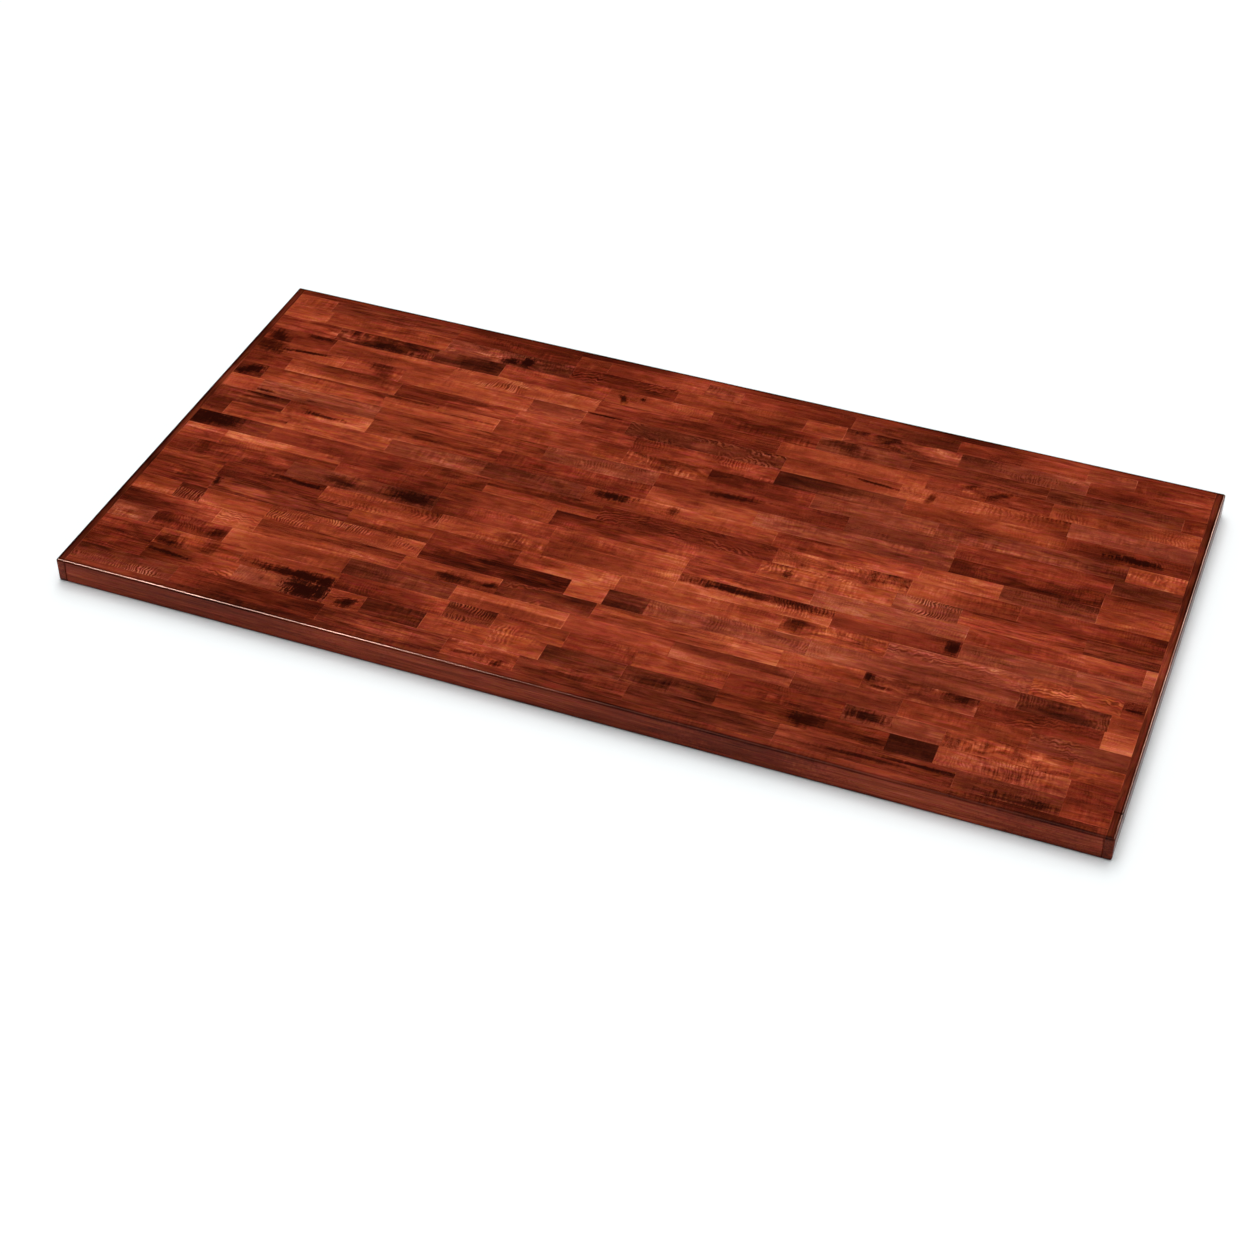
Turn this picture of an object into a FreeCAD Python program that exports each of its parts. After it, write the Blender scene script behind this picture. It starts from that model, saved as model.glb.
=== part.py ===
import FreeCAD, Part
import os
import Sketcher

# Butcher block table top. Short hardwood staves are butt-jointed end to end in long rows, and the rows are
# glued side by side. Solid edge strips cover the front and the back, and end strips cover both ends of the
# rows and the ends of the edge strips. Every outer edge is rounded over.
# Millimetres. +X runs along the top, +Y to its back, +Z up. The origin is under the middle of the underside.

DRIVING_SIZES = {
    "top_length": 1524.0,
    "top_width": 762.0,
    "top_thickness": 38.1,
    "edge_strip_width": 15.9,
    "end_strip_width": 12.7,
    "row_width": 34.9,
    "narrowest_row": 12.0,
    "shortest_stave": 15.0,
    "glue_line": 0.1,
    "edge_radius": 3.0,
    "scarf_on_top": 49.0,
    "scarf_below": 68.0,
}

# Stave lengths of each row, from the front row to the back one, and from left to right. The last stave of
# a row is cut off where the row meets its end strip.
CUT_LIST = (
    (159, 228, 190, 105, 159, 212, 240, 141, 80),
    (93, 144, 145, 54, 91, 98, 82, 117, 133, 236, 66, 175, 80),
    (94, 136, 150, 167, 73, 107, 101, 131, 163, 138, 170, 80),
    (67, 120, 190, 165, 170, 156, 173, 150, 175, 140),
    (152, 65, 230, 150, 142, 273, 117, 158, 168, 60),
    (67, 43, 107, 245, 225, 57, 61, 236, 293, 123, 60),
    (107, 223, 132, 135, 152, 240, 153, 201, 124, 50),
    (104, 166, 187, 168, 201, 228, 182, 159, 120),
    (37, 160, 240, 185, 204, 188, 222, 246, 40),
    (69, 193, 171, 174, 317, 198, 95, 176, 120),
    (129, 263, 95, 180, 270, 198, 158, 220),
    (37, 105, 168, 157, 160, 297, 217, 116, 138, 120),
    (120, 142, 213, 242, 165, 294, 219, 120),
    (57, 203, 277, 180, 293, 164, 227, 120),
    (47, 205, 190, 210, 133, 162, 188, 279, 100),
    (72, 190, 198, 192, 228, 196, 241, 200),
    (152, 100, 217, 89, 72, 250, 180, 254, 200),
    (115, 207, 245, 294, 232, 187, 230),
    (107, 170, 115, 178, 169, 173, 145, 209, 200, 50),
    (75, 210, 212, 174, 209, 63, 181, 194, 200),
    (67, 220, 208, 52, 162, 59, 179, 167, 196, 73, 130),
)

# Expressions for the field of staves that the strips enclose, and for the outer faces of the top
FIELD_LEFT = "(-Sizes.top_length / 2 + Sizes.end_strip_width + Sizes.glue_line)"
FIELD_RIGHT = "(Sizes.top_length / 2 - Sizes.end_strip_width - Sizes.glue_line)"
FIELD_FRONT = "(-Sizes.top_width / 2 + Sizes.edge_strip_width + Sizes.glue_line)"
FIELD_BACK = "(Sizes.top_width / 2 - Sizes.edge_strip_width - Sizes.glue_line)"
FRONT = "(-Sizes.top_width / 2)"
BACK = "(Sizes.top_width / 2)"
UNDERSIDE = "0"
TOP = "Sizes.top_thickness"

ON_FACE = 0.001

document = FreeCAD.newDocument("butcher_block_table_top")
sizes = document.addObject("Spreadsheet::Sheet", "Sizes")


def stave_size(row, stave):
    """Name of the sheet's cell that holds one stave's length, counted from 1."""
    return f"row_{row:02d}_stave_{stave}"


def fill_sheet():
    """Write every driving dimension to the sheet, one to a line, with its name as the cell's alias."""
    cut_lengths = {}
    for row, lengths in enumerate(CUT_LIST, start=1):
        for stave, length in enumerate(lengths, start=1):
            cut_lengths[stave_size(row, stave)] = length
    for line, (name, value) in enumerate({**DRIVING_SIZES, **cut_lengths}.items(), start=1):
        sizes.set(f"A{line}", name)
        sizes.set(f"B{line}", str(value))
        sizes.setAlias(f"B{line}", name)
    document.recompute()


def value_of(expression):
    """The number, in millimetres, that an expression on the sheet gives."""
    return float(sizes.evalExpression(expression))


def row_places():
    """Where each row starts and how wide it is, as expressions. The back row is ripped to what is left."""
    pitch = "(Sizes.row_width + Sizes.glue_line)"
    left_over = value_of(f"{FIELD_BACK} - {FIELD_FRONT} - Sizes.narrowest_row")
    full_rows = int(left_over // value_of(pitch))
    places = [(f"{FIELD_FRONT} + {row} * {pitch}", "Sizes.row_width") for row in range(full_rows)]
    ripped_front = f"{FIELD_FRONT} + {full_rows} * {pitch}"
    places.append((ripped_front, f"{FIELD_BACK} - ({ripped_front})"))
    return places


def staves_across(cut_row):
    """Where each stave of a row starts and how long it is, as expressions, from left to right."""
    count = len(CUT_LIST[cut_row - 1])
    start = FIELD_LEFT
    staves = []
    laid = 0
    while True:
        length = f"Sizes.{stave_size(cut_row, laid % count + 1)}"
        to_end = f"{FIELD_RIGHT} - ({start})"
        if value_of(to_end) < value_of(f"{length} + Sizes.glue_line + Sizes.shortest_stave"):
            staves.append((start, to_end))
            return staves
        staves.append((start, length))
        start = f"{start} + {length} + Sizes.glue_line"
        laid += 1


def stave_row(row, front, width):
    """One row of staves, each a block of the full thickness, parted from the next by a glue line."""
    name = f"stave_row_{row:02d}"
    cut_row = (row - 1) % len(CUT_LIST) + 1
    blocks = []
    for stave, (start, length) in enumerate(staves_across(cut_row), start=1):
        block = document.addObject("Part::Box", f"{name}_stave_{stave}")
        block.setExpression("Length", length)
        block.setExpression("Width", width)
        block.setExpression("Height", TOP)
        block.setExpression("Placement.Base.x", start)
        block.setExpression("Placement.Base.y", front)
        blocks.append(block)
    row_object = document.addObject("Part::Compound", name)
    row_object.Links = blocks
    row_object.Label = name
    return row_object


def side_profile(body, name, corners, start):
    """A closed outline on the plane x = start. Each corner is a pair of expressions, for y and for z."""
    sketch = body.newObject("Sketcher::SketchObject", name)
    plane = next(item for item in body.Origin.OriginFeatures if item.Role == "YZ_Plane")
    sketch.AttachmentSupport = [(plane, "")]
    sketch.MapMode = "FlatFace"
    sketch.setExpression("AttachmentOffset.Base.z", start)
    points = [FreeCAD.Vector(value_of(y), value_of(z), 0) for y, z in corners]
    for index, point in enumerate(points):
        sketch.addGeometry(Part.LineSegment(point, points[(index + 1) % len(points)]), False)
    for index in range(len(points)):
        start_of_next = ((index + 1) % len(points), 1)
        sketch.addConstraint(Sketcher.Constraint("Coincident", index, 2, *start_of_next))
    for index, (y, z) in enumerate(corners):
        across = sketch.addConstraint(Sketcher.Constraint("DistanceX", -1, 1, index, 1, points[index].x))
        sketch.setExpression(f"Constraints[{across}]", y)
        if z == UNDERSIDE:
            sketch.addConstraint(Sketcher.Constraint("PointOnObject", index, 1, -1))
        else:
            up = sketch.addConstraint(Sketcher.Constraint("DistanceY", -1, 1, index, 1, points[index].y))
            sketch.setExpression(f"Constraints[{up}]", z)
    return sketch


def outer_edges(shape):
    """Names of the edges where two outer faces of the whole top meet."""
    half_length = value_of("Sizes.top_length / 2")
    half_width = value_of("Sizes.top_width / 2")
    thickness = value_of("Sizes.top_thickness")
    names = []
    for number, edge in enumerate(shape.Edges, start=1):
        middle = edge.CenterOfMass
        on_end = abs(abs(middle.x) - half_length) < ON_FACE
        on_side = abs(abs(middle.y) - half_width) < ON_FACE
        on_flat = min(abs(middle.z), abs(middle.z - thickness)) < ON_FACE
        if on_end + on_side + on_flat == 2:
            names.append(f"Edge{number}")
    return names


def strip(name, corners, start, length):
    """A solid strip with its outer edges rounded over: a side profile padded along x from start."""
    body = document.addObject("PartDesign::Body", name)
    body.Label = name
    sketch = side_profile(body, f"{name}_profile", corners, start)
    pad = body.newObject("PartDesign::Pad", f"{name}_pad")
    pad.Profile = sketch
    pad.setExpression("Length", length)
    document.recompute()
    rounding = body.newObject("PartDesign::Fillet", f"{name}_rounding")
    rounding.Base = (pad, outer_edges(pad.Shape))
    rounding.setExpression("Radius", "Sizes.edge_radius")
    body.Tip = rounding
    return body


def edge_strip(name, near, far):
    """A strip along the front or the back, between the two end strips."""
    corners = ((near, UNDERSIDE), (far, UNDERSIDE), (far, TOP), (near, TOP))
    return strip(name, corners, FIELD_LEFT, f"{FIELD_RIGHT} - {FIELD_LEFT}")


def left_end_strip():
    """The strip across the left end, in one length."""
    corners = ((FRONT, UNDERSIDE), (BACK, UNDERSIDE), (BACK, TOP), (FRONT, TOP))
    return strip("end_strip_left", corners, "-Sizes.top_length / 2", "Sizes.end_strip_width")


def right_end_strips():
    """The strip across the right end, in two lengths that meet near the front in a slanted scarf joint."""
    start = "Sizes.top_length / 2 - Sizes.end_strip_width"
    scarf_slope = "((Sizes.scarf_below - Sizes.scarf_on_top) / Sizes.top_thickness)"
    scarf_gap = f"Sizes.glue_line * sqrt(1 + {scarf_slope} ^ 2)"
    front_top = f"{FRONT} + Sizes.scarf_on_top"
    front_below = f"{FRONT} + Sizes.scarf_below"
    front_corners = ((FRONT, UNDERSIDE), (front_below, UNDERSIDE), (front_top, TOP), (FRONT, TOP))
    back_corners = (
        (f"{front_below} + {scarf_gap}", UNDERSIDE),
        (BACK, UNDERSIDE),
        (BACK, TOP),
        (f"{front_top} + {scarf_gap}", TOP),
    )
    return [
        strip("end_strip_right_front", front_corners, start, "Sizes.end_strip_width"),
        strip("end_strip_right_back", back_corners, start, "Sizes.end_strip_width"),
    ]


def check_document(sub_parts):
    """Stop if any object failed to build, or any sub-part has no sound shape."""
    for item in document.Objects:
        if "Invalid" in item.State or "Error" in item.State:
            raise RuntimeError(f"{item.Label} did not build: {item.State}")
    for sub_part in sub_parts:
        if sub_part.Shape.isNull() or not sub_part.Shape.isValid():
            raise RuntimeError(f"{sub_part.Label} has no sound shape")


def write_step_files(sub_parts):
    """Write each sub-part to its own file, named after its label."""
    os.makedirs("parts", exist_ok=True)
    for sub_part in sub_parts:
        sub_part.Shape.exportStep(f"parts/{sub_part.Label}.step")
        print(f"{sub_part.Label}: {len(sub_part.Shape.Solids)} solids, {sub_part.Shape.Volume:.0f} mm3")


fill_sheet()
sub_parts = [stave_row(row, *place) for row, place in enumerate(row_places(), start=1)]
sub_parts.append(edge_strip("edge_strip_front", FRONT, f"{FRONT} + Sizes.edge_strip_width"))
sub_parts.append(edge_strip("edge_strip_back", f"{BACK} - Sizes.edge_strip_width", BACK))
sub_parts.append(left_end_strip())
sub_parts.extend(right_end_strips())
document.recompute()
check_document(sub_parts)
write_step_files(sub_parts)
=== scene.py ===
import math

import bpy
from mathutils import Matrix, Vector


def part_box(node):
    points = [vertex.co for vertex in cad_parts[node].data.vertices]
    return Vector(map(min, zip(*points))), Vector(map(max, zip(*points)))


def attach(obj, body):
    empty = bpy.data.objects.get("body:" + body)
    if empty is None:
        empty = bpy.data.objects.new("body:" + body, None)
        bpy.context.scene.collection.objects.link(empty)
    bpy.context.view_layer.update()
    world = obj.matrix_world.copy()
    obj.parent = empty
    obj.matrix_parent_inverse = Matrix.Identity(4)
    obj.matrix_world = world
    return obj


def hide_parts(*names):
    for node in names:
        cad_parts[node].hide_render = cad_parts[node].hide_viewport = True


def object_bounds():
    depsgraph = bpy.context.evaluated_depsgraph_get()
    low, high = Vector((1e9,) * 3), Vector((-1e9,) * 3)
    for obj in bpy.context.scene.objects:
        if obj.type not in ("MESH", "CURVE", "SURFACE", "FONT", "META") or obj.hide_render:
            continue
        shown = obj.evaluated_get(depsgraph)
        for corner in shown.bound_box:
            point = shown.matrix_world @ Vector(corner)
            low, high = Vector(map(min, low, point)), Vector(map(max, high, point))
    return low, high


bl_info = {
    "name": "Butcher block table top",
    "version": (1, 0, 0),
    "blender": (4, 5, 0),
    "location": "3D View > Sidebar > Table top",
    "description": "Staves, edge strips and lacquered stain of a butcher block table top",
    "category": "Add Mesh",
}

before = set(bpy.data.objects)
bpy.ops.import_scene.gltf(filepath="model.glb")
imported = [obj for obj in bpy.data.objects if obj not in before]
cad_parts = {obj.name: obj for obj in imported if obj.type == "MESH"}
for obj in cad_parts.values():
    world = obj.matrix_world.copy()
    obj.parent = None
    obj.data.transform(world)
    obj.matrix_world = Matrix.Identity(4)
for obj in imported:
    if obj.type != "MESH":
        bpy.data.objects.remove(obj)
cad_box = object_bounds()

MM = 0.001
# Neighbouring pieces are 0.1 mm apart in the frame. The glue fills that, so each piece grows by half of it.
HALF_GLUE_LINE = 0.05 * MM
SAME_PLACE = 0.01 * MM

# Looks of the staves

# Tone of a stave on a scale from 0, darkest, to 10, palest
MIDDLE_STEP = 5
MIDDLE_TONE = 0.487
TONE_STEP = 0.058

TINTS = {
    "brown": (0.96, 1.05, 1.1),
    "pink": (1.0, 1.08, 1.2),
    "orange": (1.06, 1.0, 0.86),
    "red": (1.05, 0.92, 0.88),
}

# Figure of the wood: lines to the metre along and across the stave, how much they arch, and how strongly
# the figure, the long streaks and the mottling show
FIGURES = {
    "plain": ((230, 14, 0), (0.22, 0.7, 0.6)),
    "even": ((240, 0, 0), (0.0, 0.8, 0.15)),
    "streaky": ((240, -16, 0), (0.12, 1.25, 0.5)),
    "mottled": ((180, 30, 0), (0.3, 0.6, 1.3)),
    "curly": ((200, 22, 0), (0.6, 0.55, 0.8)),
    "comb": ((230, -20, 0), (1.5, 0.45, 0.7)),
    "striped": ((150, -14, 0), (0.65, 0.5, 0.7)),
    "tiger": ((48, 96, 0), (1.5, 0.4, 0.4)),
    "diagonal": ((-38, 130, 0), (0.8, 0.6, 0.5)),
    "arched": ((0, 150, 300), (0.8, 0.6, 0.5)),
}

# Change of tone from left to right and from front to back, and whether it is a sudden one
SHADES = {
    "dark_left": (0.12, 0, 0),
    "dark_right": (-0.12, 0, 0),
    "dark_back": (0, -0.1, 0),
    "dark_front": (0, 0.1, 0),
    "half_dark_back": (0, -0.12, 1),
    "half_dark_front": (0, 0.12, 1),
}

# Every row from the front to the back, and its staves from left to right
STAVE_LOOKS = (
    "3 brown comb dark_back, 4 red streaky dark_right, 3 streaky, 5 red mottled, 3 streaky, 3 brown streaky,"
    " 3 streaky dark_right, 4 brown, 4 red",
    "2 red streaky, 4 orange arched dark_left, 6 brown comb dark_right, 6 orange diagonal, 1, 6 orange,"
    " 6 orange striped, 2 brown, 4 brown, 5 orange streaky, 0 brown, 6 curly, 4 red",
    "3 red streaky, 6 orange, 6 orange dark_front, 4 red dark_left, 3 comb dark_back, 5 orange striped,"
    " 2 red, 6 orange, 4 red, 6 brown, 6 orange mottled, 5 orange diagonal",
    "3 brown mottled, 1 red curly, 6 orange dark_right, 3 brown, 6 orange half_dark_front, 4 red,"
    " 5 half_dark_back, 5, 5 orange, 3 brown arched",
    "3 red streaky dark_left, 7 orange arched, 5 orange streaky, 5 orange half_dark_front, 2 diagonal,"
    " 7 orange streaky, 5 orange, 4 mottled dark_back, 4 red diagonal, 10 orange",
    "5 orange, 1 comb, 6 orange, 7 orange comb dark_left, 1 red streaky, 9 orange, 0 brown, 5 brown curly,"
    " 4 brown dark_right, 1 brown curly, 6 orange",
    "4 red streaky, 3 streaky, 5 orange, 3 red, 7 orange, 6 orange, 6 orange mottled, 6 pink diagonal,"
    " 5 orange arched, 4 red",
    "5 orange streaky, 4 red streaky, 7 orange striped, 6 orange curly, 6 orange dark_back,"
    " 6 orange curly half_dark_back, 4 red, 5 brown, 5 brown streaky",
    "4 red, 4 red, 4 brown, 4 red dark_left, 7 orange, 5 red streaky, 6 brown, 4 red, 8",
    "4 red streaky, 6 orange half_dark_front, 3 red, 6 orange, 4 red dark_left, 6 orange striped,"
    " 3 brown comb, 5 red streaky, 2 streaky",
    "1 dark_left, 4 red, 5 orange, 6 orange half_dark_back, 3 red arched, 6 orange mottled, 5 orange,"
    " 3 red dark_right",
    "3, 6 orange streaky, 6 orange, 4 brown dark_back, 3 brown, 5 orange, 5 red, 7 orange, 6 brown, 6 orange",
    "2 streaky, 6 orange, 5 orange streaky, 4 red, 6 orange, 5 brown, 3 red, 5 orange",
    "6 red, 6 brown streaky, 5 orange streaky, 5 brown curly, 3 red, 5 brown, 5 red, 4 brown",
    "2 curly, 5 orange, 7 orange, 5 orange, 6 orange mottled, 4 red, 5 brown, 5 brown, 8 orange striped",
    "4 red, 7 orange dark_back, 3 red streaky, 4 red streaky, 4 red curly, 2 brown dark_left, 5 orange,"
    " 4 red",
    "6 orange dark_left, 5 red, 6 orange, 4 diagonal, 4 red, 3 brown tiger, 6 orange dark_back,"
    " 5 orange striped dark_right, 7 pink",
    "5 red, 6 orange, 6 orange comb, 4 red streaky, 6 orange, 3 red mottled, 7 orange curly",
    "3 red streaky, 3 mottled, 2 brown, 5 red, 6 orange, 4 red, 4 brown, 3 streaky, 4 brown dark_back, 4 red",
    "7 orange, 5 orange, 5 pink mottled, 4 red diagonal, 6 orange, 6 orange, 4 mottled,"
    " 4 brown curly dark_left, 5 red",
    "6 orange dark_right, 3 streaky, 4 red, 6 orange, 4 red, 3 striped, 4 red, 4, 5 red, 4, 3 red",
)

# Knots, gum lines and light patches: the row (0 is the front strip), millimetres from the left end of the
# top, share of the row's width from its front, half length and half width in millimetres, lean in degrees
# with the right end raised, and depth, which is below zero for a light patch
MARKS = (
    (0, 390, 0.75, 150, 8, 0, 0.2),
    (0, 1036, 0.25, 95, 13, 0, 0.16),
    (0, 1420, 0.7, 95, 8, 0, 0.22),
    (1, 622, 0.35, 24, 3, 5, 0.4),
    (1, 672, 0.22, 10, 5, 30, 0.5),
    (1, 1180, 0.35, 60, 3, 0, 0.35),
    (1, 1255, 0.65, 45, 3, 0, 0.35),
    (1, 1395, 0.2, 45, 8, 0, 0.4),
    (2, 360, 0.52, 30, 20, 0, 0.95),
    (2, 425, 0.35, 14, 8, 50, 0.55),
    (2, 140, 0.6, 30, 3, -4, 0.35),
    (2, 1093, 0.5, 20, 14, 10, 0.3),
    (3, 126, 0.35, 22, 11, 0, 0.4),
    (3, 194, 0.5, 10, 15, 0, 0.22),
    (3, 335, 0.24, 56, 8.5, 0, 0.6),
    (3, 362, 0.27, 32, 10, 0, 0.75),
    (3, 1165, 0.55, 28, 10, 0, 0.55),
    (4, 94, 0.6, 14, 14, 30, 0.2),
    (4, 186, 0.5, 12, 7, 40, 0.22),
    (5, 540, 0.35, 20, 10, 0, 0.35),
    (5, 597, 0.45, 10, 5, 20, 0.45),
    (5, 1149, 0.75, 8, 8, 0, 0.6),
    (5, 1168, 0.3, 12, 3, 0, 0.5),
    (5, 1219, 0.8, 8, 6, 0, 0.3),
    (5, 1272, 0.8, 20, 7, 0, 0.4),
    (7, 126, 0.6, 5, 8, 0, 0.5),
    (7, 1020, 0.5, 14, 8, 0, 0.25),
    (7, 1495, 0.5, 12, 2.5, 0, 0.5),
    (8, 238, 0.75, 42, 4, -3, 0.5),
    (8, 583, 0.6, 18, 10, 0, 0.25),
    (8, 953, 0.78, 108, 9, 0, 0.42),
    (8, 900, 0.8, 26, 8, 0, 0.3),
    (8, 1239, 0.5, 9, 12, 0, 0.55),
    (9, 66, 0.5, 12, 14, 10, 0.18),
    (9, 300, 0.5, 26, 12, 0, 0.32),
    (9, 410, 0.5, 36, 12, 0, 0.38),
    (10, 980, 0.5, 7, 7, 0, 0.45),
    (11, 45, 0.6, 42, 15, 12, 0.4),
    (12, 432, 0.2, 44, 7, 4, -0.14),
    (12, 684, 0.7, 25, 8, 0, 0.7),
    (12, 778, 0.7, 9, 9, 0, 0.4),
    (13, 85, 0.93, 24, 2.5, -4, 0.5),
    (13, 202, 0.4, 28, 4, 0, 0.5),
    (13, 1390, 0.5, 18, 12, 0, -0.2),
    (14, 85, 0.25, 16, 3, 0, 0.5),
    (14, 850, 0.5, 42, 6, 5, 0.45),
    (15, 35, 0.5, 22, 9, 35, 0.5),
    (15, 305, 0.85, 36, 3, 0, 0.35),
    (15, 412, 0.55, 42, 2, 0, 0.3),
    (16, 1432, 0.42, 30, 6, 0, 0.75),
    (17, 34, 0.6, 28, 16, -30, 0.48),
    (17, 766, 0.5, 16, 9, 30, -0.2),
    (17, 105, 0.6, 38, 3, 5, 0.65),
    (17, 232, 0.55, 20, 12, -40, 0.3),
    (17, 600, 0.95, 26, 2.5, 0, 0.6),
    (17, 1040, 0.58, 32, 2.5, -4, 0.5),
    (17, 1121, 0.4, 14, 5, 75, 0.38),
    (18, 36, 0.3, 20, 13, -50, 0.5),
    (18, 104, 0.85, 24, 5, 0, 0.35),
    (18, 1165, 0.7, 16, 5, 35, 0.28),
    (18, 1215, 0.65, 26, 6, 35, 0.32),
    (19, 360, 0.5, 32, 14, 0, 0.25),
    (19, 610, 0.45, 14, 5, -60, 0.5),
    (19, 639, 0.7, 4, 4, 0, 0.6),
    (19, 965, 0.7, 30, 10, 0, 0.25),
    (19, 1230, 0.3, 40, 7, 0, -0.12),
    (20, 407, 0.3, 12, 7, 20, 0.6),
    (20, 434, 0.5, 12, 9, 70, 0.75),
    (20, 1121, 0.25, 15, 8, 0, -0.14),
)

# A stave carries up to three marks, in attributes that end in these letters. Each has a place (x and y from
# the stave's middle, and half length) and a look (half width, lean and depth).
MARK_LETTERS = "abc"
NO_MARK = ((0, 0, 1), (1, 0, 0))

# Looks of the strips, and the row of MARKS that belongs to one
STRIP_LOOKS = {
    "edge_strip_front": "4 even",
    "edge_strip_back": "3 red even",
    "end_strip_left": "2 brown even",
    "end_strip_right_front": "1 brown even",
    "end_strip_right_back": "2 brown even",
}
STRIP_MARK_ROWS = {"edge_strip_front": 0}

# The bare glue in the scarf joint is darker than any stain
SCARF_GLUE_TONE = 0.0
SCARF_GLUE_TINT = (0.15, 0.15, 0.15)


def read_looks(words):
    """Tone, tint, figure, strengths and shade that the words for one stave stand for."""
    look = {"tint": (1.0, 1.0, 1.0), "shade": (0, 0, 0)}
    look["figure"], look["strength"] = FIGURES["plain"]
    for word in words.split():
        if word.isdigit():
            look["tone"] = MIDDLE_TONE + TONE_STEP * (int(word) - MIDDLE_STEP)
        elif word in TINTS:
            look["tint"] = TINTS[word]
        elif word in FIGURES:
            look["figure"], look["strength"] = FIGURES[word]
        else:
            look["shade"] = SHADES[word]
    return look


def marks_between(row, low, high):
    """The deepest marks of a row whose middles lie on the stave between low and high."""
    found = []
    for mark_row, from_left, share, half_length, half_width, lean, depth in MARKS:
        x = cad_box[0].x + from_left * MM
        if mark_row == row and low.x < x < high.x:
            place = (x - (low.x + high.x) / 2, (share - 0.5) * (high.y - low.y), half_length * MM)
            found.append((place, (half_width * MM, math.radians(lean), depth)))
    found.sort(key=lambda mark: -abs(mark[1][2]))
    return (found + [NO_MARK] * len(MARK_LETTERS))[:len(MARK_LETTERS)]


# Sizes and colours that a user may change

class TableTopShape(bpy.types.PropertyGroup):
    """Sizes of the bevels and of the rounded edges"""
    stave_arris: bpy.props.FloatProperty(
        name="Stave arris", description="Width of the fine bevel round each stave", default=0.25 * MM,
        unit="LENGTH", precision=5)
    edge_radius: bpy.props.FloatProperty(
        name="Edge radius", description="Radius of the rounded outer edges", default=3 * MM,
        unit="LENGTH", precision=4)
    edge_steps: bpy.props.IntProperty(
        name="Edge steps", description="Flat steps that make up a rounded edge", default=6)
    scarf_arris: bpy.props.FloatProperty(
        name="Scarf arris", description="Width of the bevel at the scarf joint", default=1.5 * MM,
        unit="LENGTH", precision=5)


class TableTopFinish(bpy.types.PropertyGroup):
    """Colours of the stain, and the lacquer over it"""
    stain_black: bpy.props.FloatVectorProperty(
        name="Knots", description="Stain on knots and gum lines",
        default=(0.02, 0.0022, 0.0008), subtype="COLOR")
    stain_dark: bpy.props.FloatVectorProperty(
        name="Dark wood", description="Stain on dark heartwood",
        default=(0.082, 0.0098, 0.0029), subtype="COLOR")
    stain_middle: bpy.props.FloatVectorProperty(
        name="Middle wood", description="Stain on the ordinary staves",
        default=(0.205, 0.0274, 0.01), subtype="COLOR")
    stain_light: bpy.props.FloatVectorProperty(
        name="Light wood", description="Stain on light staves",
        default=(0.39, 0.0662, 0.0254), subtype="COLOR")
    stain_pale: bpy.props.FloatVectorProperty(
        name="Pale wood", description="Stain on the palest sapwood",
        default=(0.65, 0.172, 0.08), subtype="COLOR")
    # Stain rubbed thin on the edges, and also a highlight painted on the front and right edges
    rubbed_highlight: bpy.props.FloatVectorProperty(
        name="Rubbed edge and painted highlight", description="Stain where edges are rubbed thin",
        default=(0.6, 0.27, 0.22), subtype="COLOR")
    roughness: bpy.props.FloatProperty(
        name="Roughness", description="Roughness of the lacquer", default=0.22, subtype="FACTOR")
    coat: bpy.props.FloatProperty(
        name="Coat", description="Strength of the clear coat over the stain", default=0.12, subtype="FACTOR")
    edge_coat: bpy.props.FloatProperty(
        name="Coat on edges", description="How much stronger the coat is on the rounded edges", default=0.5,
        subtype="FACTOR")


class TableTopStage(bpy.types.PropertyGroup):
    """Strengths of the lights"""
    key_strength: bpy.props.FloatProperty(
        name="Key light", description="Strength of the soft light from behind", default=0.9)
    top_strength: bpy.props.FloatProperty(
        name="Top light", description="Strength of the wide light overhead", default=1.5)
    fill_strength: bpy.props.FloatProperty(
        name="Fill light", description="Strength of the light from all round", default=0.385)
    front_glint: bpy.props.FloatProperty(
        name="Front glint", description="Strength of the light that gleams on the front edge", default=7.0)
    right_glint: bpy.props.FloatProperty(
        name="Right glint", description="Strength of the light that gleams on the right edge", default=1.4)


# Node helpers

# A Noise Texture's values lie round its middle, mostly less than a quarter away
NOISE_MIDDLE = 0.5
NOISE_STRETCH = 4.0

# A Mix node has inputs for every kind of value. These numbers are its colours
MIX_FIRST = 6
MIX_SECOND = 7
MIX_RESULT = 2


def add_node(tree, kind, inputs=None, **fields):
    """A new shader node with its fields set, and its inputs filled with values or joined to sockets."""
    made = tree.nodes.new(f"ShaderNode{kind}")
    for field, value in fields.items():
        setattr(made, field, value)
    for name, value in (inputs or {}).items():
        if isinstance(value, bpy.types.NodeSocket):
            tree.links.new(value, made.inputs[name])
        else:
            made.inputs[name].default_value = value
    return made


def calculate(tree, operation, *values, clamp=False):
    """Output of a Math node on numbers or sockets."""
    made = add_node(tree, "Math", dict(enumerate(values)), operation=operation, use_clamp=clamp)
    return made.outputs["Value"]


def calculate_vector(tree, operation, *values):
    """Output of a Vector Math node on vectors or sockets."""
    made = add_node(tree, "VectorMath", dict(enumerate(values)), operation=operation)
    return made.outputs["Vector"]


def ramp_between(tree, value, low, high, to_low=0.0, to_high=1.0):
    """A smooth step from to_low, where value is low, to to_high, where it is high."""
    made = add_node(tree, "MapRange", {
        "Value": value, "From Min": low, "From Max": high, "To Min": to_low, "To Max": to_high,
    }, interpolation_type="SMOOTHSTEP")
    return made.outputs["Result"]


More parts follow.
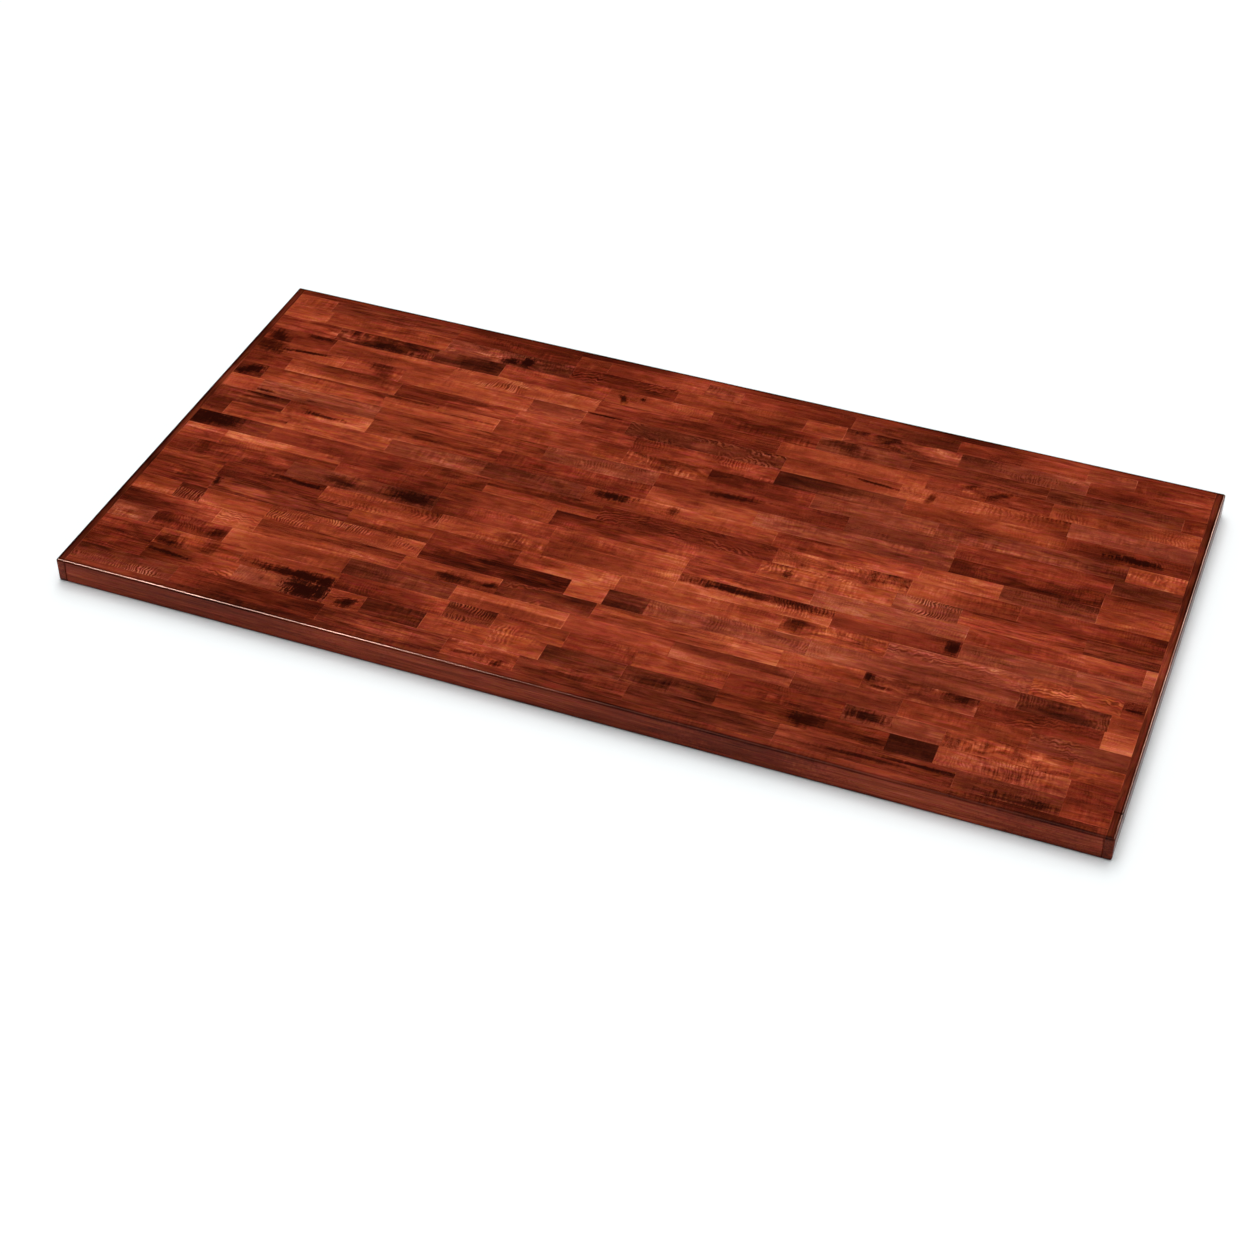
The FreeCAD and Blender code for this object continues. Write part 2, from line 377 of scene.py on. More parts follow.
def noise(tree, place, cells, detail=2.0, warp=0.0, rough=0.5):
    """Noise centred on zero and mostly between -1 and 1, with so many cells to the metre each way."""
    stretched = calculate_vector(tree, "MULTIPLY", place, cells)
    made = add_node(tree, "TexNoise", {
        "Vector": stretched, "Scale": 1.0, "Detail": detail, "Distortion": warp, "Roughness": rough,
    })
    centred = calculate(tree, "SUBTRACT", made.outputs["Fac"], NOISE_MIDDLE)
    return calculate(tree, "MULTIPLY", centred, NOISE_STRETCH)


def opaque(colour):
    """A colour with the alpha that sockets want."""
    return (*colour, 1.0)


def mix_colours(tree, share, first, second):
    """Output of a Mix node that goes from a first colour or socket to a second one."""
    made = add_node(tree, "Mix", {"Factor": share, MIX_FIRST: first, MIX_SECOND: second}, data_type="RGBA")
    return made.outputs[MIX_RESULT]


def split(tree, vector):
    """The three outputs of a Separate XYZ node."""
    return add_node(tree, "SeparateXYZ", {"Vector": vector}).outputs


def turned(tree, vector, angle):
    """A vector turned round the z axis."""
    made = add_node(tree, "VectorRotate", {"Vector": vector, "Angle": angle}, rotation_type="Z_AXIS")
    return made.outputs["Vector"]


def attribute(tree, name, output="Vector"):
    """Output of an Attribute node that reads one of a piece's own attributes."""
    return add_node(tree, "Attribute", attribute_name=name).outputs[output]


def new_group(name, inputs):
    """A shader node group with those named inputs. Gives the group, and the inputs seen from inside."""
    group = bpy.data.node_groups.new(name, "ShaderNodeTree")
    for socket, kind in inputs.items():
        group.interface.new_socket(socket, in_out="INPUT", socket_type=kind)
    return group, group.nodes.new("NodeGroupInput").outputs


def put_out(group, **values):
    """Put named values out of a group, through sockets of their own kinds. Gives the group."""
    for name, value in values.items():
        group.interface.new_socket(name, in_out="OUTPUT", socket_type=value.bl_idname)
    result = group.nodes.new("NodeGroupOutput").inputs
    for name, value in values.items():
        group.links.new(value, result[name])
    return group


def place_group(tree, group, inputs):
    """A group node in a tree, with its inputs filled or joined. Gives its outputs."""
    return add_node(tree, "Group", inputs, node_tree=group).outputs


# Shared effects, each a node group

VECTOR = "NodeSocketVector"
NUMBER = "NodeSocketFloat"

# The grain is this much finer down an upright face than across the top
UPRIGHT_GRAIN = 3.0

# Each stave's grain is taken from a place of its own, up to this many metres away
GRAIN_SPREAD = (30.0, 30.0, 30.0)

# Growth rings are dark lines this far apart and this wide, in the units of the noise that they follow
RING_SPACING = 0.28
RING_WIDTH = 0.14

# How much the fine streaks add to the broad ones, and curly lines to the blotches
FINE_SHARE = 0.4
CURL_SHARE = 0.7

# Faint rings round a knot, in radians of a wave to each of its half widths
KNOT_RINGS = 13.0

# How much the rubbed colour and painted edge highlight show, and how far the hue drifts in red, green and blue
RUBBED_HIGHLIGHT_SHARE = 0.05
HUE_DRIFT = (0.0, 1.5, 2.1)

# What clouds and pores add to the lacquer's roughness, and what pores and orange peel do to its height
CLOUD_ROUGHNESS = 0.035
PORE_ROUGHNESS = 0.12
PORE_HEIGHT = -0.6
PEEL_HEIGHT = 0.12


def make_stave_place():
    """Where a point lies on its stave, and a place shifted so that each stave has grain of its own."""
    group, given = new_group("Stave place", {"Place": VECTOR, "Middle": VECTOR, "Half width": NUMBER})
    half_length = split(group, given["Middle"])["Z"]
    flat_middle = calculate_vector(group, "MULTIPLY", given["Middle"], (1.0, 1.0, 0.0))
    local = calculate_vector(group, "SUBTRACT", given["Place"], flat_middle)
    parts = split(group, local)
    chance = add_node(group, "TexWhiteNoise", {"Vector": flat_middle}, noise_dimensions="3D")
    shift = calculate_vector(group, "MULTIPLY", chance.outputs["Color"], GRAIN_SPREAD)
    same_on_top = (0.0, 0.0, (1.0 - UPRIGHT_GRAIN) * cad_box[1].z)
    finer_down = calculate_vector(group, "MULTIPLY_ADD", local, (1.0, 1.0, UPRIGHT_GRAIN), same_on_top)
    along = calculate(group, "DIVIDE", parts["X"], half_length)
    across = calculate(group, "DIVIDE", parts["Y"], given["Half width"])
    grain = calculate_vector(group, "ADD", finer_down, shift)
    return put_out(group, Local=local, Along=along, Across=across, Grain=grain)


def make_streaks():
    """Long streaks, thin wavy lines of growth rings and fine dashes of pores, along x."""
    group, given = new_group("Grain streaks", {"Grain": VECTOR})
    layers = noise(group, given["Grain"], (5, 70, 50), warp=0.3)
    to_ring = calculate(group, "PINGPONG", layers, RING_SPACING)
    rings = ramp_between(group, to_ring, low=0.0, high=RING_WIDTH, to_low=-0.55, to_high=0.2)
    broad = noise(group, given["Grain"], (6, 75, 60), detail=4.0, warp=0.35, rough=0.62)
    fine = noise(group, given["Grain"], (16, 330, 200), warp=0.2)
    pores = noise(group, given["Grain"], (45, 850, 600), detail=1.0)
    streaks = calculate(group, "ADD", calculate(group, "MULTIPLY_ADD", fine, FINE_SHARE, broad), rings)
    return put_out(group, Streaks=streaks, Pores=ramp_between(group, pores, low=0.5, high=1.2))


def make_mottle():
    """Blotches of darker and lighter wood, with patches of short irregular lines across the grain."""
    group, given = new_group("Mottle", {"Grain": VECTOR})
    blotches = noise(group, given["Grain"], (22, 60, 40), detail=4.0, warp=0.8, rough=0.6)
    lines = noise(group, given["Grain"], (210, 34, 40), warp=0.5)
    patches = noise(group, given["Grain"], (11, 30, 20), detail=1.0)
    shown = ramp_between(group, patches, low=-0.1, high=0.8, to_low=0.1, to_high=1.1)
    curl = calculate(group, "MULTIPLY", lines, shown)
    return put_out(group, Mottle=calculate(group, "MULTIPLY_ADD", curl, CURL_SHARE, blotches))


def make_figure():
    """Bands across, along or at a slant, which wander and come and go, as in curly or arched wood."""
    group, given = new_group("Figure bands", {"Local": VECTOR, "Grain": VECTOR, "Lines": VECTOR})
    parts = split(group, given["Local"])
    lines = split(group, given["Lines"])
    wander = noise(group, given["Grain"], (26, 60, 30), detail=3.0)
    uneven = noise(group, given["Grain"], (100, 16, 30), detail=1.0)
    squared = calculate(group, "MULTIPLY", parts["X"], parts["X"])
    phase = calculate(group, "MULTIPLY", parts["Y"], lines["Y"])
    for value, share in ((parts["X"], lines["X"]), (squared, lines["Z"]), (wander, 0.8), (uneven, 0.55)):
        phase = calculate(group, "MULTIPLY_ADD", value, share, phase)
    wave = calculate(group, "SINE", calculate(group, "MULTIPLY", phase, math.tau))
    patches = noise(group, given["Grain"], (14, 40, 30))
    shown = ramp_between(group, patches, low=-0.3, high=0.8, to_high=1.3)
    return put_out(group, Bands=calculate(group, "MULTIPLY", wave, shown))


def make_mark():
    """A knot, gum line or light patch with a ragged, fibrous edge and faint rings round it."""
    group, given = new_group(
        "Knot or patch", {"Local": VECTOR, "Grain": VECTOR, "Mark": VECTOR, "Mark look": VECTOR})
    mark = split(group, given["Mark"])
    look = split(group, given["Mark look"])
    middle = calculate_vector(group, "MULTIPLY", given["Mark"], (1.0, 1.0, 0.0))
    offset = calculate_vector(group, "SUBTRACT", given["Local"], middle)
    parts = split(group, turned(group, offset, calculate(group, "MULTIPLY", look["Y"], -1.0)))
    cubes = []
    for share, half_size in ((parts["X"], mark["Z"]), (parts["Y"], look["X"])):
        to_edge = calculate(group, "ABSOLUTE", calculate(group, "DIVIDE", share, half_size))
        cubes.append(calculate(group, "POWER", to_edge, 3.0))
    distance = calculate(group, "POWER", calculate(group, "ADD", *cubes), 1 / 3)
    ragged = noise(group, given["Grain"], (50, 170, 60), detail=3.0, rough=0.6)
    comb = noise(group, given["Grain"], (300, 30, 60), detail=1.0)
    fibres = noise(group, given["Grain"], (26, 420, 300))
    for value, share in ((ragged, 0.5), (comb, 0.5), (fibres, 0.3)):
        distance = calculate(group, "MULTIPLY_ADD", value, share, distance)
    core = ramp_between(group, distance, low=0.35, high=1.45, to_low=0.95, to_high=0.0)
    rings = calculate(group, "SINE", calculate(group, "MULTIPLY", distance, KNOT_RINGS))
    near = ramp_between(group, distance, low=1.0, high=2.0, to_low=0.14, to_high=0.0)
    shape = calculate(group, "MULTIPLY_ADD", rings, near, core)
    return put_out(group, Dark=calculate(group, "MULTIPLY", shape, look["Z"]))


def make_joint_line():
    """A fine line along the edges of a stave, which comes and goes."""
    group, given = new_group("Joint line", {
        "Along": NUMBER, "Across": NUMBER, "Middle": VECTOR, "Half width": NUMBER, "Grain": VECTOR,
    })
    half_length = split(group, given["Middle"])["Z"]
    to_edges = []
    for share, half_size in ((given["Along"], half_length), (given["Across"], given["Half width"])):
        from_edge = calculate(group, "SUBTRACT", 1.0, calculate(group, "ABSOLUTE", share))
        to_edges.append(calculate(group, "MULTIPLY", from_edge, half_size))
    nearest = calculate(group, "MINIMUM", *to_edges)
    line = ramp_between(group, nearest, low=0.2 * MM, high=1.1 * MM, to_low=1.0, to_high=0.0)
    wear = calculate(group, "ADD", noise(group, given["Grain"], (20, 20, 20), detail=1.0), 0.15)
    return put_out(group, Line=calculate(group, "MULTIPLY", line, wear))


def make_stain(finish):
    """Colour of the wood for a tone from 0, nearly black, to 1, palest. It drifts, and is paler where rubbed
    thin and where a highlight is painted.
    """
    group, given = new_group(
        "Mahogany stain", {"Tone": NUMBER, "Tint": VECTOR, "Grain": VECTOR, "Rubbed": NUMBER})
    ramp = add_node(group, "ValToRGB", {"Fac": given["Tone"]})
    colours = (
        finish.stain_black, finish.stain_dark, finish.stain_middle, finish.stain_light,
        finish.stain_pale,
    )
    stops = ramp.color_ramp.elements
    stops[1].position = 1.0
    for index in range(1, len(colours) - 1):
        stops.new(index / (len(colours) - 1))
    for stop, colour in zip(stops, colours):
        stop.color = opaque(colour)
    drift = add_node(group, "TexNoise", {
        "Vector": calculate_vector(group, "MULTIPLY", given["Grain"], (50, 220, 160)),
        "Scale": 1.0, "Detail": 3.0, "Roughness": 0.6, "Distortion": 0.3,
    }).outputs["Color"]
    centred = calculate_vector(group, "SUBTRACT", drift, (NOISE_MIDDLE,) * 3)
    hue = calculate_vector(group, "MULTIPLY_ADD", centred, HUE_DRIFT, (1.0, 1.0, 1.0))
    stained = calculate_vector(group, "MULTIPLY", ramp.outputs["Color"], hue)
    # Paler where the stain is rubbed thin, and a painted highlight on the front and right edges
    worn_and_highlit = mix_colours(
        group, calculate(group, "MULTIPLY", given["Rubbed"], RUBBED_HIGHLIGHT_SHARE), stained, opaque(finish.rubbed_highlight))
    return put_out(group, Colour=calculate_vector(group, "MULTIPLY", worn_and_highlit, given["Tint"]))


def make_edge_rub_and_painted_light():
    """Masks for the outer edges: where the stain is rubbed thin and a highlight is painted, and painted shade
    along the edges and low on the upright faces.
    """
    group, given = new_group("Edge rub", {"Place": VECTOR, "Normal": VECTOR})
    normal = split(group, given["Normal"])
    place = split(group, given["Place"])
    to_right = calculate(group, "SUBTRACT", cad_box[1].x, place["X"])
    to_left = calculate(group, "SUBTRACT", place["X"], cad_box[0].x)
    to_front = calculate(group, "SUBTRACT", place["Y"], cad_box[0].y)
    to_back = calculate(group, "SUBTRACT", cad_box[1].y, place["Y"])
    to_front_or_right = calculate(group, "MINIMUM", to_right, to_front)
    to_back_or_left = calculate(group, "MINIMUM", to_left, to_back)

    # Stain rubbed thin, and a painted highlight, on the rounded front and right edges only
    rubbed_highlight = ramp_between(group, normal["Z"], low=0.62, high=0.82)
    patchy = noise(group, given["Place"], (9, 9, 9))
    for mask in (
        ramp_between(group, normal["Z"], low=0.95, high=0.985, to_low=1.0, to_high=0.0),
        ramp_between(group, patchy, low=-0.8, high=0.5, to_low=0.35),
        ramp_between(group, calculate(group, "SUBTRACT", normal["X"], normal["Y"]), low=0.1, high=0.4),
        ramp_between(group, to_front_or_right, low=3 * MM, high=3.5 * MM, to_low=1.0, to_high=0.0),
    ):
        rubbed_highlight = calculate(group, "MULTIPLY", rubbed_highlight, mask)

    # Painted shade: a band inside the front and right edges, a wider one along the back and left edges, and
    # darker low on the upright faces
    narrow = ramp_between(group, to_front_or_right, low=3.5 * MM, high=6 * MM, to_low=0.6, to_high=0.0)
    wide = ramp_between(group, to_back_or_left, low=2 * MM, high=8 * MM, to_low=1.0, to_high=0.0)
    faces_up = ramp_between(group, normal["Z"], low=0.0, high=0.1)
    above = calculate(group, "MULTIPLY", calculate(group, "MAXIMUM", narrow, wide), faces_up)
    low_down = ramp_between(group, place["Z"], low=1 * MM, high=6 * MM, to_low=0.8, to_high=0.0)
    steepness = calculate(group, "ABSOLUTE", normal["Z"])
    on_sides = ramp_between(group, steepness, low=0.3, high=0.9, to_low=1.0, to_high=0.0)
    below = calculate(group, "MULTIPLY", low_down, on_sides)
    return put_out(group, Rubbed=rubbed_highlight, Pooled=calculate(group, "MAXIMUM", above, below))


def make_lacquer():
    """Roughness and height of the lacquer: a slight orange peel, and pores that show through."""
    group, given = new_group("Lacquer", {"Place": VECTOR, "Pores": NUMBER, "Roughness": NUMBER})
    cloudy = noise(group, given["Place"], (7, 14, 7), detail=3.0)
    peel = noise(group, given["Place"], (330, 330, 330), detail=1.0)
    rough = calculate(group, "MULTIPLY_ADD", cloudy, CLOUD_ROUGHNESS, given["Roughness"])
    rough = calculate(group, "MULTIPLY_ADD", given["Pores"], PORE_ROUGHNESS, rough, clamp=True)
    height = calculate(group, "MULTIPLY", peel, PEEL_HEIGHT)
    height = calculate(group, "MULTIPLY_ADD", given["Pores"], PORE_HEIGHT, height)
    return put_out(group, Roughness=rough, Height=height)


# Stained wood

# How much each pattern changes the tone on the top, and how much of that is left on upright faces
PATTERN_WEIGHTS = {
    "clouds": (0.2, 0.45),
    "streaks": (0.205, 1.2),
    "mottle": (0.34, 0.8),
    "bands": (0.22, 0.4),
}

# How strong a stave's own clouds are, against those that pass over the whole top
STAVE_CLOUDS = 1.1

# How much the tone changes on joint lines, in pores, in the painted shade along edges and low on the sides, and
# on upright faces
JOINT_TONE = 0.38
PORE_TONE = -0.08
PAINTED_SHADE_TONE = -0.35
UPRIGHT_PAINTED_LIGHT = 0.11

WOOD_NAMES = {"along": "Stained wood along the top", "across": "Stained wood across the top"}


def stave_tone(tree, stave):
    """Tone of a stave, which may change from left to right and from front to back, slowly or at once."""
    shade = split(tree, attribute(tree, "shade"))
    sudden = ramp_between(tree, stave["Across"], low=-0.12, high=0.12, to_low=-1.0, to_high=1.0)
    crosswise = add_node(tree, "Mix", {
        "Factor": shade["Z"], "A": stave["Across"], "B": sudden,
    }).outputs["Result"]
    tone = calculate(tree, "MULTIPLY_ADD", shade["Y"], crosswise, attribute(tree, "tone", "Fac"))
    return calculate(tree, "MULTIPLY_ADD", shade["X"], stave["Along"], tone)


def wood_patterns(tree, groups, place, stave, streaks):
    """Every pattern of the wood, as strong as the stave has it."""
    strength = split(tree, attribute(tree, "strength"))
    slow_change = noise(tree, stave["Grain"], (4.5, 16, 10))
    cloud = noise(tree, place, (4, 14, 8), detail=3.0)
    mottle = place_group(tree, groups["mottle"], {"Grain": stave["Grain"]})
    bands = place_group(tree, groups["figure"], {
        "Local": stave["Local"], "Grain": stave["Grain"], "Lines": attribute(tree, "figure"),
    })
    return {
        "clouds": calculate(tree, "MULTIPLY_ADD", slow_change, STAVE_CLOUDS, cloud),
        "streaks": calculate(tree, "MULTIPLY", streaks["Streaks"], strength["Y"]),
        "mottle": calculate(tree, "MULTIPLY", mottle["Mottle"], strength["Z"]),
        "bands": calculate(tree, "MULTIPLY", bands["Bands"], strength["X"]),
    }


def take_marks(tree, tone, groups, stave):
    """Tone with the stave's knots, gum lines and light patches."""
    for letter in MARK_LETTERS:
        mark = place_group(tree, groups["mark"], {
            "Local": stave["Local"], "Grain": stave["Grain"],
            "Mark": attribute(tree, f"mark_{letter}"), "Mark look": attribute(tree, f"mark_{letter}_look"),
        })
        tone = calculate(tree, "SUBTRACT", tone, mark["Dark"])
    return tone


def stained_wood(name, groups, finish, across_grain):
    """Stained and lacquered wood. Its grain runs along x, or along y where the strip lies across the top."""
    material = bpy.data.materials.new(name)
    material.use_nodes = True
    tree = material.node_tree
    tree.nodes.clear()
    place = add_node(tree, "TexCoord").outputs["Object"]
    normal = add_node(tree, "NewGeometry").outputs["Normal"]
    upright = calculate(tree, "SUBTRACT", 1.0, calculate(tree, "ABSOLUTE", split(tree, normal)["Z"]))
    size = {"Middle": attribute(tree, "middle"), "Half width": attribute(tree, "half_width", "Fac")}
    grain_place = turned(tree, place, -math.pi / 2) if across_grain else place
    stave = place_group(tree, groups["place"], {"Place": grain_place, **size})
    streaks = place_group(tree, groups["streaks"], {"Grain": stave["Grain"]})
    joint = place_group(tree, groups["joint"], {
        "Along": stave["Along"], "Across": stave["Across"], "Grain": stave["Grain"], **size,
    })
    edge_rub_and_light = place_group(tree, groups["edge_rub_and_light"], {"Place": place, "Normal": normal})

    tone = stave_tone(tree, stave)
    for pattern, value in wood_patterns(tree, groups, place, stave, streaks).items():
        weight, upright_share = PATTERN_WEIGHTS[pattern]
        shown = ramp_between(tree, upright, low=0.0, high=1.0, to_low=weight, to_high=weight * upright_share)
        tone = calculate(tree, "MULTIPLY_ADD", value, shown, tone)
    tone = take_marks(tree, tone, groups, stave)
    joint_shown = ramp_between(tree, upright, low=0.0, high=0.5, to_low=JOINT_TONE, to_high=0.0)
    tone = calculate(tree, "MULTIPLY_ADD", joint["Line"], joint_shown, tone)
    tone = calculate(tree, "MULTIPLY_ADD", streaks["Pores"], PORE_TONE, tone)
    # Painted light: upright faces are painted paler, as if lit as brightly as the top
    tone = calculate(tree, "MULTIPLY_ADD", upright, UPRIGHT_PAINTED_LIGHT, tone)
    # Painted shade along the edges and low on the sides
    tone = calculate(tree, "MULTIPLY_ADD", edge_rub_and_light["Pooled"], PAINTED_SHADE_TONE, tone, clamp=True)

    stain = place_group(tree, groups["stain"], {
        "Tone": tone, "Tint": attribute(tree, "tint"), "Grain": stave["Grain"], "Rubbed": edge_rub_and_light["Rubbed"],
    })
    lacquer = place_group(tree, groups["lacquer"], {
        "Place": place, "Pores": streaks["Pores"], "Roughness": finish.roughness,
    })
    coat = calculate(tree, "MULTIPLY_ADD", edge_rub_and_light["Rubbed"], finish.edge_coat, finish.coat)
    bump = add_node(tree, "Bump", {
        "Height": lacquer["Height"], "Strength": 0.25, "Distance": 0.2 * MM,
    }).outputs["Normal"]
    shader = add_node(tree, "BsdfPrincipled", {
        "Base Color": stain["Colour"], "Roughness": lacquer["Roughness"], "Normal": bump,
        "Coat Weight": coat, "Coat Roughness": 0.12, "Specular IOR Level": 0.02,
    })
    add_node(tree, "OutputMaterial", {"Surface": shader.outputs["BSDF"]})


def wood_material(grain, finish):
    """Stained wood with its grain along or across the top. Both are made at the first call."""
    if WOOD_NAMES[grain] not in bpy.data.materials:
        groups = {
            "place": make_stave_place(),
            "streaks": make_streaks(),
            "mottle": make_mottle(),
            "figure": make_figure(),
            "mark": make_mark(),
            "joint": make_joint_line(),
            "stain": make_stain(finish),
            "edge_rub_and_light": make_edge_rub_and_painted_light(),
            "lacquer": make_lacquer(),
        }
        for direction, name in WOOD_NAMES.items():
            stained_wood(name, groups, finish, across_grain=direction == "across")
    return bpy.data.materials[WOOD_NAMES[grain]]


# Modelling

# Ends of staves are read from the frame's mesh to this many digits of a metre
END_DIGITS = 5

# Faces that meet at less than this are shaded as one rounded surface
SMOOTH_ANGLE = math.radians(40)


def deselect_all():
    """Leave nothing selected."""
    bpy.ops.object.select_all(action="DESELECT")


def add_bar(low, high):
    """A box between two corners: a new object, or in edit mode more of the same mesh."""
    bpy.ops.mesh.primitive_cube_add(size=1.0, location=(low + high) / 2, scale=high - low)


def new_piece(name, low, high):
    """A new object that starts as a box between two corners."""
    deselect_all()
    add_bar(low, high)
    piece = bpy.context.object
    piece.name = name
    bpy.ops.object.transform_apply()
    return piece


def grown(box):
    """A frame box with half a glue line added all round, but not past the outside of the top."""
    low, high = box
    glue = Vector((HALF_GLUE_LINE,) * 3)
    new_low = Vector(map(max, low - glue, cad_box[0]))
    new_high = Vector(map(min, high + glue, cad_box[1]))
    return new_low, new_high


def select_edges(piece, wanted):
    """In edit mode, select only the edges for which wanted(one end, other end) is true."""
    bpy.ops.mesh.select_all(action="DESELECT")
    bpy.ops.object.mode_set(mode="OBJECT")
    vertices = piece.data.vertices
    for edge in piece.data.edges:
        edge.select = wanted(vertices[edge.vertices[0]].co, vertices[edge.vertices[1]].co)
    bpy.ops.object.mode_set(mode="EDIT")
    bpy.ops.mesh.select_mode(type="EDGE")


def all_at(axis, limit, *points):
    """Whether all the points have that value on that axis."""
    return all(abs(point[axis] - limit) < SAME_PLACE for point in points)


def outer_sides(one, other):
    """On how many of the top's outer faces (ends, long sides, flats) both ends of an edge lie."""
    return sum(all_at(axis, corner[axis], one, other) for axis in range(3) for corner in cad_box)


def is_inner_edge(box, one, other):
    """Whether an edge runs along a side of the strip that is glued to other pieces."""
    for axis in range(2):
        for corner in grown(box):
            outside = any(all_at(axis, limit[axis], corner) for limit in cad_box)
            if not outside and all_at(axis, corner[axis], one, other):
                return True
    return False


def write_look(piece, look_of_face):
    """Store each face's look as attributes of the mesh that the materials read."""
    mesh = piece.data
    looks = [look_of_face(face) for face in mesh.polygons]
    for name, value in looks[0].items():
        kind = "FLOAT" if isinstance(value, float) else "FLOAT_VECTOR"
        layer = mesh.attributes.new(name, kind, "CORNER")
        values = []
        for face, look in zip(mesh.polygons, looks):
            corner = [look[name]] if kind == "FLOAT" else list(look[name])
            values.extend(corner * face.loop_total)
        layer.data.foreach_set("value" if kind == "FLOAT" else "vector", values)


def full_look(words, low, high, marks, across_grain=False):
    """Everything the material needs to know about one stave or strip."""
    look = read_looks(words)
    middle = (low + high) / 2
    half = (high - low) / 2
    look["middle"] = (middle.y, -middle.x, half.y) if across_grain else (middle.x, middle.y, half.x)
    look["half_width"] = half.x if across_grain else half.y
    for letter, (place, shape) in zip(MARK_LETTERS, marks):
        look[f"mark_{letter}"] = place
        look[f"mark_{letter}_look"] = shape
    return look


def finish_piece(piece, node, material):
    """Give a finished piece its material, and its place in the frame."""
    piece.data.materials.clear()
    piece.data.materials.append(material)
    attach(piece, "root")
    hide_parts(node)


def stave_boxes(node):
    """The corners of every stave in a row, from left to right, read from the frame's mesh."""
    low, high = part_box(node)
    ends = sorted({round(vertex.co.x, END_DIGITS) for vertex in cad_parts[node].data.vertices})
    return [(Vector((start, low.y, low.z)), Vector((end, high.y, high.z)))
            for start, end in zip(ends[::2], ends[1::2])]


def build_stave_row(row, shape, material):
    """One row: a block for each stave, with a fine bevel round it so that the joints catch the light."""
    node = f"stave_row_{row:02d}"
    boxes = stave_boxes(node)
    words = STAVE_LOOKS[row - 1].split(",")
    if len(words) != len(boxes):
        raise RuntimeError(f"{node} has {len(boxes)} staves and {len(words)} looks")
    piece = new_piece(f"staves_of_row_{row:02d}", *grown(boxes[0]))
    bpy.ops.object.mode_set(mode="EDIT")
    for box in boxes[1:]:
        add_bar(*grown(box))
    bpy.ops.mesh.select_all(action="SELECT")
    bpy.ops.mesh.bevel(offset=shape.stave_arris, segments=1)
    bpy.ops.object.mode_set(mode="OBJECT")
    looks = [full_look(word, *box, marks_between(row, *box)) for word, box in zip(words, boxes)]
    right_ends = [high.x + HALF_GLUE_LINE for _, high in boxes[:-1]]
    write_look(piece, lambda face: looks[sum(face.center.x > end for end in right_ends)])
    finish_piece(piece, node, material)


def scarf_cut():
    """The scarf joint of the right end strip: a point on its plane, and the plane's normal to the back."""
    front_low, front_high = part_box("end_strip_right_front")
    back_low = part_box("end_strip_right_back")[0]
    foot = Vector((front_high.x, front_high.y, front_low.z))
    head = Vector((front_high.x, back_low.y, front_high.z))
    normal = Vector((1, 0, 0)).cross(foot - head).normalized()
    if normal.y < 0:
        normal.negate()
    return foot, normal


def cut_off(point, normal, arris):
    """In edit mode, cut the piece off at a plane and bevel the new end."""
    bpy.ops.mesh.select_all(action="SELECT")
    bpy.ops.mesh.bisect(plane_co=point, plane_no=normal, use_fill=True, clear_outer=True)
    bpy.ops.mesh.region_to_loop()
    bpy.ops.mesh.bevel(offset=arris, segments=1)


def smooth_rounding(piece):
    """Shade the rounded edges smooth and leave the flat faces flat."""
    deselect_all()
    piece.select_set(True)
    bpy.ops.object.shade_smooth_by_angle(angle=SMOOTH_ANGLE)
    bpy.ops.object.modifier_add(type="WEIGHTED_NORMAL")
    piece.modifiers[-1].keep_sharp = True
    bpy.ops.object.modifier_apply(modifier=piece.modifiers[-1].name)


def is_scarf_glue(face, cut, shape):
    """Whether a face shows the bare glue: it lies at the cut, on the outside of the strip."""
    point, normal = cut
    to_cut = abs((face.center - point).dot(normal))
    return to_cut < shape.scarf_arris and face.center.x > point.x - shape.edge_radius


def build_strip(node, box, shape, material, across_grain=False, cut=None):
    """A solid strip with rounded outer edges and fine inner ones. A cut is a point and an outward normal."""
    piece = new_piece(node.replace("_strip", "_strip_of_wood"), *grown(box))
    bpy.ops.object.mode_set(mode="EDIT")
    select_edges(piece, lambda one, other: outer_sides(one, other) >= 2)
    bpy.ops.mesh.bevel(offset=shape.edge_radius, segments=shape.edge_steps)
    select_edges(piece, lambda one, other: outer_sides(one, other) == 1 and is_inner_edge(box, one, other))
    bpy.ops.mesh.bevel(offset=shape.stave_arris, segments=1)
    if cut:
        cut_off(*cut, shape.scarf_arris)
    bpy.ops.object.mode_set(mode="OBJECT")
    smooth_rounding(piece)
    look = full_look(STRIP_LOOKS[node], *box, marks_between(STRIP_MARK_ROWS.get(node), *box), across_grain)
    glued = dict(look, tone=SCARF_GLUE_TONE, tint=SCARF_GLUE_TINT)
    write_look(piece, lambda face: glued if cut and is_scarf_glue(face, cut, shape) else look)
    finish_piece(piece, node, material)


# Stage

CAMERA_AZIMUTH = math.radians(20.715)
CAMERA_ELEVATION = math.radians(40.726)
CAMERA_ROLL = math.radians(0.457)
CAMERA_LENS = 68.75
CAMERA_SENSOR = 36.0
CAMERA_DISTANCE = 3.3556
CAMERA_AIM = Vector((0.0313, -0.1811, 0.0))
FLOOR_SIZE = 24.0

# Azimuth (0 is the front, 90 the right), elevation and width in degrees, the property that holds the
# strength, and whether the light only glints in the lacquer or only lights the wood
SUNS = {
    "key_light": (200, 50, 40, "key_strength", False),
    "top_light": (200, 82, 50, "top_strength", False),
    "front_edge_glint": (266, 65, 12, "front_glint", True),
    "right_edge_glint": (152, 28, 12, "right_glint", True),
}

# Only a sun's direction counts. This keeps it clear of the wood
SUN_HEIGHT = 3.0

